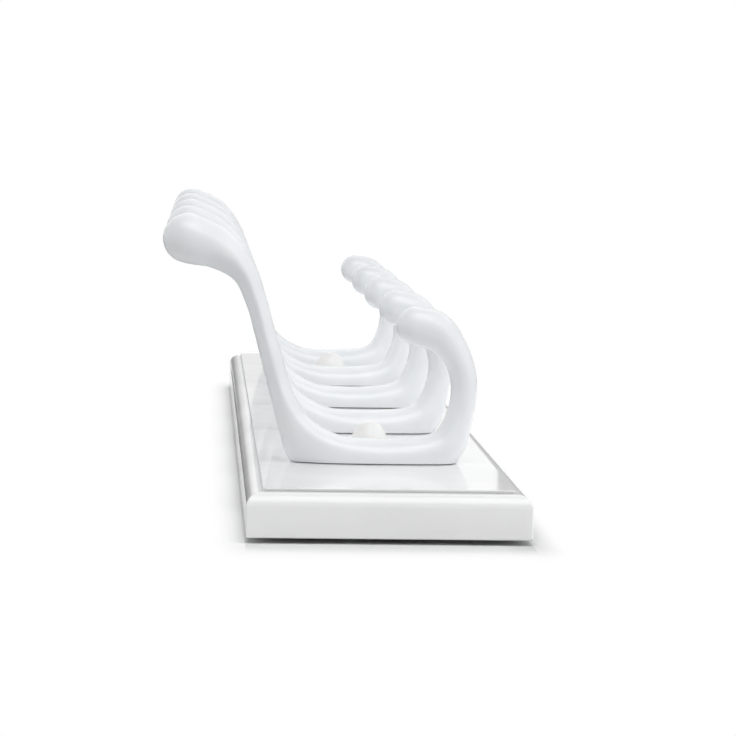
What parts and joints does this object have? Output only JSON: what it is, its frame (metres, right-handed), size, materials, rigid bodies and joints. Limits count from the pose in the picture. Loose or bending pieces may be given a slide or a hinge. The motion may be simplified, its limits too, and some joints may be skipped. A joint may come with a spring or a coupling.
{
  "type": "hook rack",
  "caption": "Wall rack for coats and bags: a white painted board with a routed edge carries a row of cast double hooks, with domed caps over its wall screws.",
  "frame": {"origin": "middle of the plane where the back pads meet the wall, which is the face of the middle pad", "axes": "+X down the wall when hung, +Y along the board, +Z out of the wall"},
  "size_m": [0.1402, 0.7112, 0.1193],
  "materials": {
    "white_paint": "gloss white paint",
    "white_enamel": "gloss white baked enamel",
    "zinc_plate": "zinc plate",
    "cap_plastic": "satin warm white",
    "pad_felt": "matt dark grey"
  },
  "bodies": {
    "rack": {"board": "white_paint", "hook_1": "white_enamel", "hook_2": "white_enamel", "hook_3": "white_enamel", "hook_4": "white_enamel", "hook_5": "white_enamel", "hook_1_screw_upper": "zinc_plate", "hook_1_screw_lower": "zinc_plate", "hook_2_screw_upper": "zinc_plate", "hook_2_screw_lower": "zinc_plate", "hook_3_screw_upper": "zinc_plate", "hook_3_screw_lower": "zinc_plate", "hook_4_screw_upper": "zinc_plate", "hook_4_screw_lower": "zinc_plate", "hook_5_screw_upper": "zinc_plate", "hook_5_screw_lower": "zinc_plate", "back_pad_1": "pad_felt", "back_pad_2": "pad_felt", "back_pad_3": "pad_felt", "back_pad_4": "pad_felt", "back_pad_5": "pad_felt"},
    "cap_1": {"screw_cap_1": "cap_plastic"},
    "cap_2": {"screw_cap_2": "cap_plastic"}
  },
  "joints": [
    {"name": "cap_1_pull", "type": "slide", "parent": "rack", "child": "cap_1", "axis": [0, 0, 1], "range_m": [0, 0.008]},
    {"name": "cap_2_pull", "type": "slide", "parent": "rack", "child": "cap_2", "axis": [0, 0, 1], "range_m": [0, 0.008]}
  ]
}
